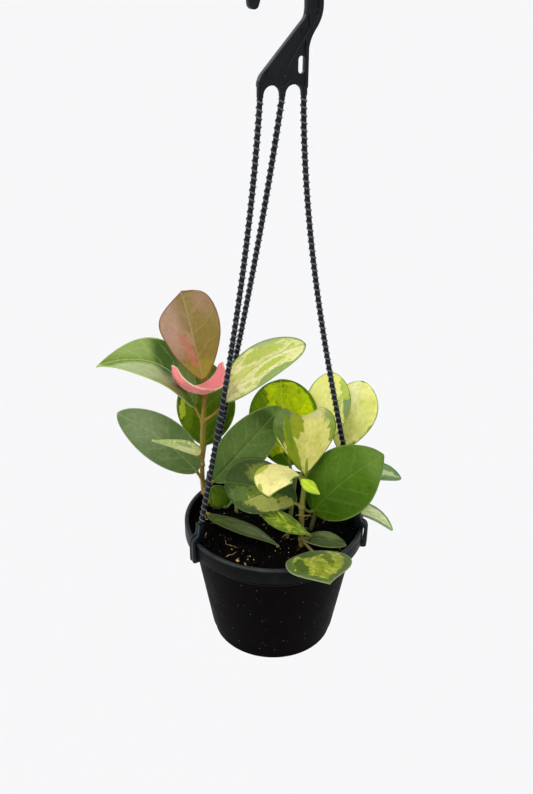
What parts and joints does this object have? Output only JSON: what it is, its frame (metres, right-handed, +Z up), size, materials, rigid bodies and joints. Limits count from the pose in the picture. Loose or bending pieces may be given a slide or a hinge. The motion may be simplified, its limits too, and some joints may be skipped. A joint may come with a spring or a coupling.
{
  "type": "potted hoya plant",
  "caption": "Young variegated hoya with thick oval leaves in a round black hanging pot, held by a moulded strand hanger with a hook on top.",
  "frame": {"origin": "where the hook rests on its rail: the middle of the underside of the hook's arch", "axes": "+Z up, -Y towards the front of the plant, +X to its right"},
  "size_m": [0.1899, 0.1356, 0.408],
  "materials": {
    "pot_plastic": "satin black polypropylene with fine scuffs and dust",
    "potting_mix": "dark, moist bark and peat mix with pale chips and root fibres",
    "hanger_plastic": "satin black moulded plastic",
    "stem": "olive green to brown young bark",
    "leaf_green": "satin waxy green with paler veins",
    "leaf_dark_green": "satin waxy dark bluish green",
    "leaf_lime": "satin waxy yellow-green with a dark green margin",
    "leaf_cream": "satin waxy cream with green strokes and margin",
    "leaf_bronze": "soft bronze-pink young leaf, olive near its edge",
    "leaf_pink": "soft rose-pink young leaf with a cream base"
  },
  "bodies": {
    "root": {"pot": "pot_plastic", "soil": "potting_mix", "hanger_hook": "hanger_plastic", "hanger_strand_front_left": "hanger_plastic", "hanger_strand_back_left": "hanger_plastic", "hanger_strand_right": "hanger_plastic", "stem_left": "stem", "stem_front": "stem", "stem_middle": "stem", "stem_right": "stem", "stem_back": "stem", "leaf_left_bronze": "leaf_bronze", "leaf_left_pink": "leaf_pink", "leaf_left_arching": "leaf_green", "leaf_left_cream": "leaf_cream", "leaf_left_behind": "leaf_green", "leaf_left_front": "leaf_lime", "leaf_left_low": "leaf_dark_green", "leaf_left_inner": "leaf_dark_green", "leaf_left_soil": "leaf_green", "leaf_front_cream": "leaf_cream", "leaf_front_small_cream": "leaf_cream", "leaf_front_bud": "leaf_lime", "leaf_front_round": "leaf_green", "leaf_front_large": "leaf_dark_green", "leaf_front_low_left": "leaf_lime", "leaf_front_low_right": "leaf_green", "leaf_front_rim": "leaf_lime", "leaf_middle_lime": "leaf_lime", "leaf_middle_back": "leaf_green", "leaf_right_tip": "leaf_cream", "leaf_right_pale": "leaf_cream", "leaf_right_far": "leaf_lime", "leaf_right_drooping": "leaf_cream", "leaf_back_small": "leaf_lime", "leaf_back_upper": "leaf_dark_green", "leaf_back_far": "leaf_green"}
  },
  "joints": []
}
